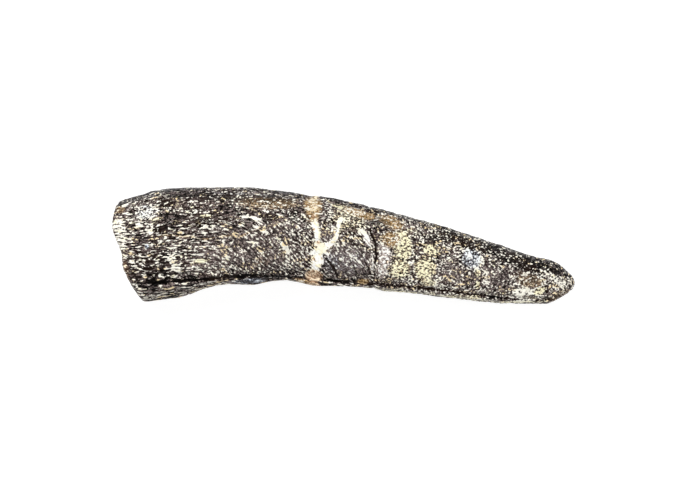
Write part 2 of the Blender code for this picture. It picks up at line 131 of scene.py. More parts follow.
# Patches on the skin: (x, y, half length, half width, lean in degrees, strength).
PATCHES = {
    ("white", TOP): [  # pale deposits
        (-21.9, 3.7, 1.46, 1.23, 0, 0.55), (-25.0, 2.0, 0.9, 1.6, 6, 0.66),
        (-24.9, 0.4, 0.8, 1.0, 6, 0.74), (22.9, -2.9, 1.1, 0.4, -15, 0.75),
        (23.7, -3.7, 0.9, 0.35, -20, 0.7), (-24.6, 4.5, 0.67, 0.45, 20, 0.85),
        (-24.2, 3.6, 0.5, 0.27, -8, 1), (-23.8, 2.9, 1.12, 0.15, -4, 0.8),
        (-22.9, 2.3, 0.5, 0.28, -5, 1), (-23.5, 4.7, 0.45, 0.22, 0, 0.6),
        (-23.0, -0.1, 0.45, 0.2, 0, 0.6), (-24.6, -1.3, 0.45, 0.78, 8, 0.5),
        (-19.3, -1.3, 0.78, 0.56, -20, 0.65), (-18.7, -2.6, 0.9, 0.5, -45, 0.8),
        (-16.0, -1.7, 0.78, 0.2, 8, 0.9), (-9.7, 3.0, 0.8, 0.22, -18, 1),
        (-9.7, 2.1, 0.35, 0.2, 0, 1), (-13.5, 0.6, 0.34, 0.2, 0, 0.9),
        (-12.8, -1.4, 0.45, 0.22, -35, 0.8), (-12.3, -2.4, 0.45, 0.22, -40, 0.7),
        (-1.3, 1.7, 0.2, 0.18, 0, 1), (-0.2, 2.8, 0.6, 0.4, -15, 0.7), (-4.0, 4.2, 0.4, 0.6, 0, 0.9),
        (-3.3, 4.6, 1.4, 0.6, 0, 0.45), (0.8, 3.8, 2.02, 0.78, -12, 0.5),
        (2.3, 1.3, 1.01, 0.39, -48, 0.75), (-3.6, -0.7, 0.18, 0.18, 0, 1),
        (0.8, -0.9, 0.19, 0.19, 0, 1), (-0.6, 0.1, 0.17, 0.17, 0, 1), (-1.8, 3.4, 1.1, 0.8, 0, 0.55),
        (-4.9, 3.2, 0.7, 0.8, 0, 0.6), (-6.2, -2.1, 0.8, 1.0, -60, 0.5),
        (20.3, -6.2, 1.6, 0.35, 0, 0.9), (14.0, -1.0, 0.45, 0.85, 15, 0.8),
        (15.4, -1.6, 0.55, 0.45, 0, 0.88), (14.9, -2.4, 0.45, 0.45, 0, 0.9),
        (15.9, -3.1, 0.34, 0.39, 0, 0.8), (15.9, -4.0, 0.39, 0.39, 0, 0.75),
        (20.2, -5.2, 1.4, 0.6, 0, 0.92), (19.8, -5.9, 0.34, 0.15, 0, 0.9),
        (24.7, -4.2, 0.85, 0.8, 40, 0.68), (23.0, -3.0, 1.3, 0.35, -20, 0.6),
        (25.4, -3.8, 0.34, 0.67, 20, 0.5), (16.8, 0.2, 0.67, 0.34, -20, 0.4),
        (8.0, -5.6, 7.5, 0.3, -5, 0.6), (19.0, -6.3, 5.0, 0.3, -2, 0.75),
        (3.2, -4.75, 4.5, 0.35, -6, 0.7), (13.5, -6.0, 4.0, 0.3, -5, 0.7),
    ],
    ("white", UNDER): [
        (-24.0, 2.0, 0.8, 1.8, 15, 0.8), (-12.5, -1.2, 1.4, 0.8, 20, 0.7),
        (7.5, 0.6, 1.3, 1.1, 0, 0.7), (17.5, -2.8, 1.8, 0.9, -15, 0.75),
        (-17.0, 3.6, 1.6, 0.6, 5, 0.65), (23.5, -4.6, 1.0, 0.8, 0, 0.8),
        (-19.0, -2.0, 0.9, 0.5, -20, 0.7), (-8.6, 2.6, 0.9, 0.4, -20, 0.9),
    ],
    ("yellow", TOP): [  # cream and ochre deposits
        (-9.9, 4.8, 6.5, 1.12, 0, 0.22), (-19.2, 4.3, 2.47, 1.01, 0, 0.2),
        (-15.3, 3.3, 0.78, 0.22, 0, 0.7), (-20.8, 3.0, 0.78, 0.22, 8, 0.7),
        (-16.0, -1.7, 1.01, 0.34, 5, 0.6), (0.7, 2.9, 2.24, 1.46, -20, 0.45),
        (0.1, 4.3, 1.3, 0.55, -12, 0.8), (6.6, 0.1, 1.1, 1.9, 5, 0.85),
        (6.3, -2.6, 1.23, 1.34, 0, 0.7), (9.7, -0.5, 1.01, 0.67, -10, 0.75),
        (9.1, -2.5, 1.23, 1.34, -10, 0.85), (9.5, -4.1, 1.01, 0.56, -10, 0.65),
        (7.7, 1.5, 0.9, 0.78, 0, 0.3), (15.0, -3.1, 0.39, 0.39, 0, 0.8),
        (15.0, -4.4, 0.28, 0.5, 0, 1), (22.0, -5.1, 0.78, 0.45, 20, 0.75),
        (-2.4, -0.3, 0.56, 0.56, 0, 0.8), (-0.8, -5.0, 1.79, 0.34, -4, 0.6),
        (9.7, -5.6, 6.72, 0.34, -5, 0.5), (18.7, -6.3, 5.6, 0.34, -2, 0.5),
        (5.5, -4.9, 1.57, 0.28, -5, 0.5),
    ],
    ("yellow", UNDER): [
        (-6.0, 2.2, 4.0, 1.4, 10, 0.55), (11.0, -1.2, 2.6, 1.6, -15, 0.7),
        (-20.5, -2.6, 2.4, 0.9, 0, 0.55), (20.8, -3.8, 1.8, 1.0, -10, 0.6),
    ],
    ("tan", TOP): [  # brown stains
        (1.8, 3.7, 1.91, 0.67, -18, 0.9), (5.4, 2.7, 1.57, 1.12, -25, 0.7),
        (5.3, 0.7, 1.2, 1.0, 0, 0.7), (-9.1, -1.8, 1.01, 1.23, -45, 0.3),
        (-4.5, -4.0, 1.57, 0.39, -5, 0.75), (20.9, -3.9, 2.1, 0.9, -20, 0.38),
        (-24.9, 4.1, 0.67, 0.67, 20, 0.5), (-3.4, 4.5, 1.1, 2.2, 0, 0.8),
        (2.2, -4.0, 0.78, 0.45, 0, 0.8), (-8.2, 4.8, 3.92, 1.01, 0, 0.45),
    ],
    ("tan", UNDER): [
        (4.5, 2.6, 2.6, 1.4, 0, 0.8), (-9.0, -3.0, 2.6, 0.9, 0, 0.5),
        (13.5, 0.8, 1.8, 0.9, -25, 0.5),
    ],
    ("rust", TOP): [  # iron stains, the largest on the lump at the vein's lower end
        (-3.3, -3.3, 1.0, 1.0, 0, 1), (-3.4, -4.8, 1.0, 2.2, 0, 1), (-4.8, -4.2, 1.2, 0.3, -8, 0.8),
        (-3.3, 1.8, 0.17, 0.15, 0, 1), (-2.8, 0.4, 0.21, 0.15, 0, 1), (-3.3, -1.5, 0.18, 0.16, 0, 1),
        (23.8, -5.8, 1.12, 0.56, 25, 0.4), (-24.3, -2.5, 0.39, 1.23, 14, 0.4),
        (4.9, -1.8, 0.27, 0.25, 0, 0.45), (-3.4, 3.3, 0.22, 0.34, 0, 0.6),
    ],
    ("rust", UNDER): [
        (-3.2, -4.0, 1.0, 1.6, 0, 0.95), (-3.1, 1.6, 0.3, 0.25, 0, 0.9),
        (1.0, 0.6, 1.0, 0.8, 20, 0.5),
    ],
    ("dark", TOP): [  # bare black enamel; the first entry is painted shade along the lip-side edge
        (-12.0, 5.4, 10.0, 0.9, 0, 0.5), (-16.0, 3.2, 6.0, 1.6, 0, 0.35),
        (-15.6, 2.7, 1.1, 0.9, 0, 0.75), (-20.4, 1.9, 1.2, 0.6, 0, 0.75),
        (-20.0, 4.7, 1.4, 0.6, 0, 0.7), (-8.3, 3.2, 1.3, 0.6, 0, 0.6),
        (-14.2, -3.5, 2.0, 0.3, 3, 0.7), (20.7, -3.4, 1.4, 0.6, -20, 0.4),
        (-18.1, 2.7, 2.9, 0.34, -2, 0.35), (-19.4, 2.0, 1.6, 0.28, 0, 0.45),
        (-21.5, -2.5, 4.71, 1.91, 0, 0.5), (-21.7, -4.4, 2.7, 0.6, 4, 0.2),
        (9.0, 0.6, 1.68, 1.01, -15, 0.45), (10.8, 2.2, 2.02, 0.56, -17, 0.8),
        (13.1, 0.6, 3.6, 1.1, -16, 0.8), (17.5, -0.8, 3.2, 1.0, -19, 0.75),
        (20.5, -2.0, 2.2, 1.0, -22, 1), (22.9, -2.5, 1.5, 0.5, -25, 1),
        (23.6, -5.8, 1.4, 0.5, 20, 0.7), (-10.5, -4.0, 2.13, 0.5, 3, 0.4),
        (2.7, 3.9, 0.29, 0.27, 0, 1), (3.6, 3.7, 0.27, 0.67, 0, 0.9),
        (4.5, 2.5, 0.9, 0.67, -20, 0.5), (5.6, 0.8, 0.18, 0.16, 0, 1), (4.9, -1.8, 0.3, 0.3, 0, 0.8),
        (24.2, -4.5, 0.19, 0.17, 0, 1), (-10.5, -3.3, 2.69, 0.28, 2, 0.6),
        (0.2, 2.7, 0.9, 0.56, 0, 0.3),
    ],
    ("dark", UNDER): [
        (16.0, 0.4, 3.4, 0.9, -12, 0.8), (-16.0, 1.2, 3.0, 0.5, 0, 0.6),
        (22.0, -3.0, 1.5, 0.7, -20, 0.8), (-21.0, -3.6, 3.6, 1.0, 0, 0.5),
    ],
    ("even", TOP): [  # smoother enamel with few flecks
        (-9.7, -0.5, 5.6, 2.24, -8, 0.6), (0.4, -1.8, 2.7, 2.0, -10, 1),
        (-16.1, -2.5, 3.36, 1.01, 0, 0.35), (-14.4, -1.3, 1.8, 1.2, 0, 0.6),
        (16.6, -3.3, 2.4, 1.4, -15, 0.5), (12.2, -2.9, 1.79, 1.34, -10, 0.5),
        (-6.8, 2.0, 2.69, 1.01, -10, 0.4), (-2.0, 1.0, 0.78, 0.67, 0, 1),
        (-10.5, -4.0, 2.13, 0.5, 3, 0.9),
    ],
    ("even", UNDER): [
        (0.4, -2.2, 2.2, 1.2, 0, 0.6), (-11.0, 0.6, 4.4, 1.6, 0, 0.5),
        (19.0, -1.2, 1.6, 1.0, 0, 0.6),
    ],
    ("cool", TOP): [  # bluish places
        (-21.9, 3.7, 1.46, 1.23, 0, 0.35), (14.3, -1.4, 1.34, 1.34, 0, 0.5),
        (-10.5, -4.0, 2.13, 0.56, 3, 0.6), (-21.9, -0.1, 0.26, 0.26, 0, 1),
        (-1.3, -1.9, 1.12, 1.34, 0, 0.35), (-11.6, 5.8, 7.28, 0.34, 0, 0.3),
        (0.7, -1.9, 2.47, 1.79, 0, 0.25),
    ],
    ("cool", UNDER): [
        (-2.0, -2.2, 2.0, 1.4, 0, 0.4), (17.5, -2.8, 1.8, 1.0, 0, 0.4),
    ],
    ("lilac", TOP): [  # the pale band beside the crack
        (4.6, -1.2, 0.7, 1.3, 4, 1), (4.3, -2.8, 0.6, 1.1, 0, 0.7), (2.7, 0.6, 0.4, 0.9, 20, 0.7),
        (3.2, -2.0, 0.25, 1.6, 0, 0.6), (-8.2, -1.8, 2.8, 1.34, 0, 0.2),
    ],
    ("lilac", UNDER): [
        (7.5, 0.6, 1.3, 1.1, 0, 0.5),
    ],
    ("grainy", TOP): [  # wrinkles broken up into grains near the root
        (1.0, 3.3, 2.24, 1.79, -15, 0.85), (-21.9, 3.7, 1.46, 1.34, 0, 0.8),
    ],
    ("grainy", UNDER): [
        (-17.0, 3.4, 2.0, 1.0, 0, 0.7),
    ],
}


# -------------------- shape of the skin

# A pair of numbers is where something begins and where it is full. A layer of noise is given as
# (height, size, seed).

VOXEL, SMOOTH_PASSES = 0.142, 6  # the fine mesh
WELD = 1e-6  # points of the solid that are closer than this, in metres, are one
SLICE = 1.0  # length of one slice along the tooth, when its middle line is measured
INSET = 0.004  # how far the skin keeps inside the solid's box

# The two ends. The break slants: it lies within BREAK_LENGTH of the root's outermost point. There
# a point counts as broken where it faces the root's end squarely or lies well inside the rim.
BREAK_LENGTH, BREAK_FACING, BREAK_SHARE = 4.5, 0.62, 0.66
BREAK_SINK, BREAK_STEPS = 0.2, ((0.22, 1.6, 11), (0.14, 0.6, 13))
BREAK_RIM = (0.92, 0.75)  # by the share of the way out from the middle
HOLLOW_RIM, HOLLOW_WANDER = (0.42, 0.3), (0.1, 1.2, 14)  # the same for the pulp hollow
CAP_LENGTH, CAP_FACING = 3.5, 0.6  # the worn end of the tip

# The wrinkles run along the root in rows.
WRINKLE_HEIGHT = 0.08
ROW_PITCH = 0.52
LIP_PITCH, LIP_ROUND = 0.4, 4.0  # closer rows within this distance of the lip side
ROW_WANDER, ROW_WANDER_SIZE = 0.9, (3.2, 1.0, 3.0)  # in rows
ROW_JITTER, ROW_JITTER_SIZE = 0.4, (1.1, 0.6, 2.0)

# Below SLANT_Y and above the groove they turn down towards the tongue side, over TURN_X.
TURN_X, TURN_DEGREES, TURN_SHORTENING = (-16.5, -8.5), 45.0, 0.8
SLANT_Y, SLANT_WANDER = (3.5, 2.0), (0.6, 1.5, 1)
SLANT_OVER_GROOVE = (-0.1, 0.5)
SLANT_PITCH = 0.4
FLOW_MIDDLE = 8.0  # the way round the skin at which the slanting coordinates are true to length
FLOW_STEPS = 600

# Towards the tip, and round the lip side, they break up into grains.
GRAINY_X, GRAINY_WANDER = (2.6, 5.0), (1.5, 2.0, 2)
LIP_GRAIN_ROUND, LIP_GRAIN_WANDER, LIP_GRAIN_SHARE = (6.2, 4.6), (1.0, 1.8, 15), 0.55
GRAINS = (0.9, (0.36, 0.32, 0.34), 7)

# The other relief
LUMPS = ((0.05, 1.1, 8), (0.06, 2.6, 9))
PITS, PIT_EDGE, PIT_DEPTH = (1.0, 0.55, 10), (0.42, 0.6), 0.1
VEIN_EDGE, VEIN_RISE, VEIN_CALM, VEIN_ROUGHNESS = (1.15, 0.85), 0.03, 0.6, (0.05, 0.34, 12)
CUTS = {"crack": (2.6, 1.0), "crease": (1.4, 1.4), "groove": (0.9, 1.3)}  # depth, spread (half widths)
CUT_SOFTNESS = 0.04

# What is stored for the colours
BRIM_SHADE_ROUND, BRIM_SHADE_SHARE = (2.2, 0.6), 0.7  # painted shade: greyer, darker ground along the lip side
PATCH_EDGE = (1.35, 0.55)  # in half sizes
SIDE_EDGE = (-0.4, 0.1)  # by how squarely the skin faces the patch's side
LINE_STEP = 0.12  # between two spots on a line
FAR_OFF = 100.0  # how high above the tooth, or how deep below it, marks are dropped from
FARTHEST = 4  # distances to lines are stored up to this many half widths

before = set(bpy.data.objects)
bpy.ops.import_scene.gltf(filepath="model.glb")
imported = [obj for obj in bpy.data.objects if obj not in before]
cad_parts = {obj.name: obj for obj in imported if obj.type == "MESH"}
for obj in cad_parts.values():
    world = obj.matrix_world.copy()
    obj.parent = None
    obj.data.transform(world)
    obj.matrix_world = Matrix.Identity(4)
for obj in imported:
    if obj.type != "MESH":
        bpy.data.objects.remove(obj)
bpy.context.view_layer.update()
tooth_low, tooth_high = (np.array(corner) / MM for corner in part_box("tooth"))


def smooth_step(low, high, value):
    """0 at low, 1 at high, and a smooth ramp between; low may be the larger."""
    t = np.clip((value - low) / (high - low), 0, 1)
    return t * t * (3 - 2 * t)


def noise_at(points, seed):
    """Smooth noise from about -1 to 1 at each row of points."""
    shift = Vector((seed * 17.3, seed * -9.1, seed * 5.7))
    return np.array([noise.noise(Vector(p) + shift) for p in points])


def uneven(points, *layers):
    """Layers of noise, given as (height, size, seed), added up."""
    return sum(height * noise_at(points / size, seed) for height, size, seed in layers)


def fine_skin(node):
    """A finely and evenly meshed copy of a CAD node."""
    mesh = bmesh.new()
    mesh.from_mesh(node.data)
    bmesh.ops.remove_doubles(mesh, verts=mesh.verts, dist=WELD)
    bmesh.ops.scale(mesh, vec=Vector((1, 1, 1)) / MM, verts=mesh.verts)
    coarse = bpy.data.meshes.new("coarse")
    mesh.to_mesh(coarse)
    mesh.free()
    piece = bpy.data.objects.new("fossil_tooth", coarse)
    bpy.context.scene.collection.objects.link(piece)
    piece.modifiers.new("round", "SUBSURF").levels = 1
    remesh = piece.modifiers.new("remesh", "REMESH")
    remesh.mode = "VOXEL"
    remesh.voxel_size = VOXEL
    piece.modifiers.new("smooth", "SMOOTH").iterations = SMOOTH_PASSES
    fine = bpy.data.meshes.new_from_object(piece.evaluated_get(bpy.context.evaluated_depsgraph_get()))
    piece.modifiers.clear()
    piece.data = fine
    fine.name = "fossil_tooth"
    bpy.data.meshes.remove(coarse)
    return piece


def read_points(mesh):
    """The mesh's points and their normals, as two arrays."""
    arrays = []
    for name in ("co", "normal"):
        values = np.empty(len(mesh.vertices) * 3, np.float32)
        mesh.vertices.foreach_get(name, values)
        arrays.append(values.reshape(-1, 3).astype(float))
    return arrays


class Section:
    """Where each point lies round the tooth's middle line.

    share is 1 on the skin and 0 on the middle line. round is the way round from the lip side: it
    grows over the top and is cut underneath, where the tooth rests.
    """

    def __init__(self, points):
        slices = np.arange(tooth_low[0] + BREAK_LENGTH, tooth_high[0] - SLICE / 2, SLICE)
        near = [points[np.abs(points[:, 0] - x) < SLICE / 2] for x in slices]
        low = np.array([p.min(axis=0) for p in near])
        high = np.array([p.max(axis=0) for p in near])
        middle, half = (low + high) / 2, (high - low) / 2
        middle_y, middle_z, half_y, half_z = (
            np.interp(points[:, 0], slices, table)
            for table in (middle[:, 1], middle[:, 2], half[:, 1], half[:, 2]))
        dy, dz = points[:, 1] - middle_y, points[:, 2] - middle_z
        self.share = np.hypot(dy / half_y, dz / half_z)
        angle = (np.arctan2(dz, dy) + math.pi / 2) % (math.tau) - math.pi / 2
        self.round = angle * (half_y + half_z) / 2


class Surface:
    """Finds how far the skin's points are from lines and patches placed from above or below."""

    def __init__(self, mesh, points, normals):
        self.tree = BVHTree.FromPolygons(points.tolist(), [tuple(p.vertices) for p in mesh.polygons])
        self.points = points
        self.facing = normals[:, 2]

    def drop(self, side, x, y):
        """The skin's point above or below (x, y), or the nearest one where that misses."""
        start = Vector((x, y, side * FAR_OFF))
        hit = self.tree.ray_cast(start, Vector((0, 0, -side)))[0]
        if hit is None:
            middle = Vector((x, y, (tooth_low[2] + tooth_high[2]) / 2))
            hit = self.tree.find_nearest(middle)[0]
        return hit

    def track(self, side, stops):
        """Spots along a line with the half width at each, dropped on the skin and joined up over it."""
        dropped = []
        for (x0, y0, w0), (x1, y1, w1) in zip(stops, stops[1:]):
            count = max(2, int(math.hypot(x1 - x0, y1 - y0) / LINE_STEP))
            for t in np.linspace(0, 1, count):
                spot = self.drop(side, x0 + t * (x1 - x0), y0 + t * (y1 - y0))
                dropped.append((spot, (w0 + t * (w1 - w0)) / 2))
        spots = []
        for (spot, half), (following, _) in zip(dropped, dropped[1:]):
            parts = max(1, int((following - spot).length / LINE_STEP))
            between = [spot.lerp(following, k / parts) for k in range(parts)]
            spots += [(self.tree.find_nearest(place)[0], half) for place in between]
        spots.append(dropped[-1])
        return spots

    def line(self, lines):
        """How far away the nearest line is from every point, and its half width there."""
        spots = [spot for side, stops in lines for spot in self.track(side, stops)]
        tree = KDTree(len(spots))
        for number, (spot, _) in enumerate(spots):
            tree.insert(spot, number)
        tree.balance()
        found = [tree.find(p) for p in self.points]
        distances = np.array([distance for _, _, distance in found])
        halves = np.array([spots[number][1] for _, number, _ in found])
        return distances, halves

    def patch(self, side, x, y, half_long, half_wide, lean, strength):
        """A soft patch: its strength in the middle, none a little outside its edge."""
        away = self.points - np.array(self.drop(side, x, y))
        along = away[:, 0]
        across = np.sign(away[:, 1]) * np.hypot(away[:, 1], away[:, 2])
        turn = math.radians(lean)
        u = along * math.cos(turn) + across * math.sin(turn)
        v = across * math.cos(turn) - along * math.sin(turn)
        inside = smooth_step(*PATCH_EDGE, np.hypot(u / half_long, v / half_wide))
        same_side = smooth_step(*SIDE_EDGE, side * self.facing)
        return strength * inside * same_side


def flow_coordinates(skin):
    """Skin coordinates bent so that the first runs along the wrinkles and the second across them."""
    x = np.linspace(tooth_low[0], tooth_high[0], FLOW_STEPS)
    step = x[1] - x[0]
    turned = smooth_step(*TURN_X, x)
    slope = math.tan(math.radians(TURN_DEGREES)) * turned
    shortening = 1 + TURN_SHORTENING * turned
    length = np.cumsum(np.hypot(1, slope) * shortening) * step
    tables = (np.cumsum(slope) * step, length, slope, shortening)
    fall, length, slope, shortening = (np.interp(skin[:, 0], x, table) for table in tables)
    down = skin[:, 1] - fall - FLOW_MIDDLE
    along = length + shortening * down * slope / np.hypot(1, slope)
    return np.stack([along, down / np.hypot(1, slope), skin[:, 2]], axis=-1)


def row_phase(coordinates, across, seed):
    """Counts the wrinkles across the skin: they wander, run together and part again."""
    wander = uneven(coordinates, (1.0, ROW_WANDER_SIZE, seed), (ROW_JITTER, ROW_JITTER_SIZE, seed + 1))
    return across + ROW_WANDER * wander


def crest_of(phase):
    """1 on a wrinkle's crest and 0 in the valley beside it."""
    return 0.5 + 0.5 * np.cos(math.tau * phase)


class Enamel:
    """The skin's coordinates, and where its wrinkles slant, turn into grains or are broken off."""

    def __init__(self, points, normals, section):
        x = points[:, 0]
        near_break = x - tooth_low[0] < BREAK_LENGTH + 1
        inside = (normals[:, 0] < -BREAK_FACING) | (section.share < BREAK_SHARE)
        worn_end = (tooth_high[0] - x < CAP_LENGTH) & (normals[:, 0] > CAP_FACING)
        facing_ends = (near_break & inside) | worn_end
        self.broken = (near_break & inside).astype(float)
        self.hollow = smooth_step(*HOLLOW_RIM, section.share + uneven(points, HOLLOW_WANDER))
        from_lip = np.abs(section.round)
        # painted shade along the lip side, none on the break
        self.brim_shade = BRIM_SHADE_SHARE * smooth_step(*BRIM_SHADE_ROUND, from_lip) * (1 - self.broken)

        self.skin = np.stack([x, section.round, points[:, 2]], axis=-1)
        self.flow = flow_coordinates(self.skin)
        self.skin[facing_ends] = points[facing_ends][:, [1, 2, 0]]
        self.slant = self.slanting(points)
        self.slant[facing_ends] = 0
        self.grainy = np.maximum(self.graining(points, from_lip), self.broken)

        near_lip = np.clip(section.round, -LIP_ROUND, LIP_ROUND)
        across = near_lip / LIP_PITCH + (section.round - near_lip) / ROW_PITCH
        self.rows = row_phase(self.skin, across, 3)
        self.slant_rows = row_phase(self.flow, self.flow[:, 1] / SLANT_PITCH, 5)
        self.grains = 0.5 + uneven(points, GRAINS)

    def slanting(self, points):
        """1 where the wrinkles slant: below the lip side's rows and above the groove."""
        x, y = points[:, 0], points[:, 1]
        above_groove = y - np.interp(x, *np.array(GROOVE_STOPS).T[:2])
        below_rows = smooth_step(*SLANT_Y, y + uneven(points, SLANT_WANDER))
        return below_rows * smooth_step(*SLANT_OVER_GROOVE, above_groove)

    def graining(self, points, from_lip):
        """How far the wrinkles are broken up into grains: towards the tip and round the lip side."""
        grainy = smooth_step(*GRAINY_X, points[:, 0] + uneven(points, GRAINY_WANDER))
        lip_grain = smooth_step(*LIP_GRAIN_ROUND, from_lip + uneven(points, LIP_GRAIN_WANDER))
        return np.maximum(grainy, LIP_GRAIN_SHARE * lip_grain)

    def crest(self):
        """1 on the crests of the wrinkles and 0 in their valleys; grains where they break up."""
        straight = crest_of(self.rows)
        crest = straight + self.slant * (crest_of(self.slant_rows) - straight)
        return crest + self.grainy * (self.grains - crest)


def relief_of(points, section, enamel, lines):
    """How far out of the solid each point of the skin is pushed."""
    pits = smooth_step(*PIT_EDGE, uneven(points, PITS))
    relief = WRINKLE_HEIGHT * (enamel.crest() - 0.5) + uneven(points, *LUMPS) - PIT_DEPTH * pits
    distance, half = lines["vein"]
    in_vein = smooth_step(*VEIN_EDGE, distance / half)
    rough_vein = VEIN_RISE + uneven(points, VEIN_ROUGHNESS)
    relief = relief * (1 - VEIN_CALM * in_vein) + in_vein * rough_vein
    for name, (depth, spread) in CUTS.items():
        distance, half = lines[name]
        relief -= depth * half * np.exp(-((distance / (spread * half + CUT_SOFTNESS)) ** 2))
    on_break = enamel.broken * (1 - enamel.hollow) * smooth_step(*BREAK_RIM, section.share)
    return relief + on_break * (uneven(points, *BREAK_STEPS) - BREAK_SINK)


def marks(points, section, enamel, surface, lines):
    """What the material reads at each point of the skin, by name."""
    found = {
        "place": points,
        "skin": enamel.skin,
        "flow": enamel.flow,
        "rows": np.stack([enamel.rows, enamel.slant_rows, enamel.grains], axis=-1),
        "slant": enamel.slant,
        "broken": enamel.broken,
        "brim_shade": enamel.brim_shade,
        "hollow": enamel.hollow,
        "inwards": section.share,
        "grainy": enamel.grainy,
    }
    for name, (distance, half) in lines.items():
        found[name] = np.clip(distance / half, 0, FARTHEST)
    for (name, side), patches in PATCHES.items():
        for patch in patches:
            found[name] = np.maximum(found.get(name, 0.0), surface.patch(side, *patch))
    return found


def store(mesh, name, values):
    """Keeps one number or one vector for each point of the mesh."""
    vector = values.ndim == 2
    attribute = mesh.attributes.new(name, "FLOAT_VECTOR" if vector else "FLOAT", "POINT")
    attribute.data.foreach_set("vector" if vector else "value", values.astype(np.float32).ravel())


def build_skin():
    """The displaced skin with its attributes."""
    piece = fine_skin(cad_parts["tooth"])
    mesh = piece.data
    points, normals = read_points(mesh)
    section = Section(points)
    surface = Surface(mesh, points, normals)
    enamel = Enamel(points, normals, section)
    lines = {name: surface.line(entries) for name, entries in LINES.items()}

    raised = points + normals * relief_of(points, section, enamel, lines)[:, None]
    raised = np.clip(raised, tooth_low + (INSET, INSET, 0), tooth_high - INSET)
    mesh.vertices.foreach_set("co", (raised * MM).astype(np.float32).ravel())
    mesh.update()
    mesh.shade_smooth()
    for name, values in marks(points, section, enamel, surface, lines).items():
        store(mesh, name, values)
    return piece


# -------------------- the material

def colour(red, green, blue):
    """A colour given as 0 to 255 on a screen, in the linear values that Blender mixes."""
    def linear(v):
        """One of the three values without the screen's curve."""
        v = v / 255
        return v / 12.92 if v <= 0.04045 else ((v + 0.055) / 1.055) ** 2.4
    return (linear(red), linear(green), linear(blue), 1.0)


# Bare enamel, from its gaps to its palest ground
BLACK = colour(5, 3, 2)
BROWN_BLACK = colour(26, 15, 9)
GROUND = colour(115, 101, 98)
GROUND_PALE = colour(166, 153, 147)
EVEN_GROUND = colour(144, 130, 127)
COOL_GROUND = colour(104, 110, 122)
# painted shade: the grey that the ground darkens to along the lip side
BRIM_SHADE = colour(72, 72, 76)

# Deposits and stains; CREAM, YELLOW_CREAM and GOLD also colour the flecks, which are partly painted
# glints
WHITE = colour(254, 253, 248)
CREAM = colour(253, 249, 236)
YELLOW_CREAM = colour(254, 248, 212)
YELLOW_GROUND = colour(158, 145, 126)
COOL_WHITE = colour(226, 234, 244)
GOLD = colour(240, 214, 158)
TAN = colour(186, 150, 104)
TAN_PALE = colour(228, 204, 162)
LILAC = colour(190, 176, 168)
LILAC_PALE = colour(240, 229, 217)
RUST = colour(200, 158, 124)
RUST_PALE = colour(236, 204, 170)
RUST_LIGHT = colour(250, 228, 198)
VEIN_CREAM = colour(246, 236, 204)

# The break
DENTINE = colour(112, 88, 68)
DENTINE_PALE = colour(168, 142, 112)
DENTINE_DARK = colour(58, 42, 32)
MATRIX = colour(176, 160, 134)
MATRIX_PALE = colour(226, 216, 194)

# What a soft patch turns the ground, the pale ground and the flecks into
TINTS = {
    "cool": (COOL_GROUND, COOL_WHITE, COOL_WHITE),
    "yellow": (YELLOW_GROUND, TAN_PALE, YELLOW_CREAM),
    "tan": (TAN, TAN_PALE, CREAM),
    "lilac": (LILAC, LILAC_PALE, WHITE),
}

# Sizes of the marks in millimetres: (along, across, through)
FLECK_SIZE, FLECK_GRAIN = (0.75, 0.24, 0.7), (0.25, 0.21, 0.23)  # along the wrinkles, and in grains
ROW_SIZE, ROW_GRAIN = (2.2, 0.5, 1.5), (0.9, 0.8, 0.85)
FOLD_SIZE, FOLD_GRAIN = (1.9, 0.4, 1.2), (0.5, 0.4, 0.45)
SLANT_LENGTH = 0.72  # how long these are where the wrinkles slant, next to elsewhere
FINE_SIZE = (0.22, 0.17, 0.2)
MOTTLE_SIZE = (0.7, 0.5, 0.6)
BROAD_SIZE = (3.2, 1.8, 2.4)
GOLDEN_SIZE = (1.4, 0.6, 0.8)

# Separate beads in the cells of a random pattern: dots everywhere, and dashes along the wrinkles
# the beads join the flecks: pale matrix and painted glints
DOT_CELL, DOT_LARGEST, DOT_SHARE = (0.34, 0.3, 0.3), 0.46, 0.45
DASH_CELL, DASH_LARGEST, DASH_SHARE = (0.8, 0.42, 0.5), 0.42, 0.7
BEAD_SPREAD, BEAD_CORE = 0.4, 0.75  # how much their sizes differ, and where their edges begin
BEADED_ROWS, DEPOSIT_BEADS, EVEN_BEADS = (0.38, 0.66), 0.4, 0.5  # where they lie thicker or thinner
SWIRL_SCALE, SWIRL_REACH = 4.0, 0.35  # what makes them less round

# The dark lines in the valleys, and the painted shade in their bottoms
FOLD_LINE = (0.045, 0.015)
VALLEY_EDGE, VALLEY_FOLDS = (0.2, 0.08), (0.46, 0.58)

# How lines fade out, in half widths from their middle, and how ragged their edges are
RAGGEDNESS = 1.6
LINE_EDGES = {
    "vein": (1.25, 0.8, 1.0), "white_line": (1.4, 0.7, 1.3), "hairline": (2.2, 0.6, 1.5),
    "groove": (3.0, 0.8, 2.6), "crease": (1.6, 0.5, 0.8), "crack": (1.7, 0.8, 0.5),
}

# Steps in how pale the skin is: gaps, the dark rims round flecks, and flecks of pale matrix and painted
# glints
GAP_EDGE, RIM_EDGE, RIM_SHARE = (0.43, 0.37), (0.5, 0.545), 0.85
FLECK_EDGE, FLECK_CORE = (0.555, 0.58), (0.575, 0.615)

# The ground between them, by the fine noise: from its deep spots to its pale ones
DEEP_EDGE, PALE_EDGE = (0.36, 0.54), (0.5, 0.68)
DEEP_LIGHT, DEEP_LIGHT_EVEN = 0.3, 0.2  # how much of the plain ground the deep spots keep
DARK_EDGE, DARK_RAGGED, DARK_SHARE = (0.25, 0.7), 0.5, 0.8

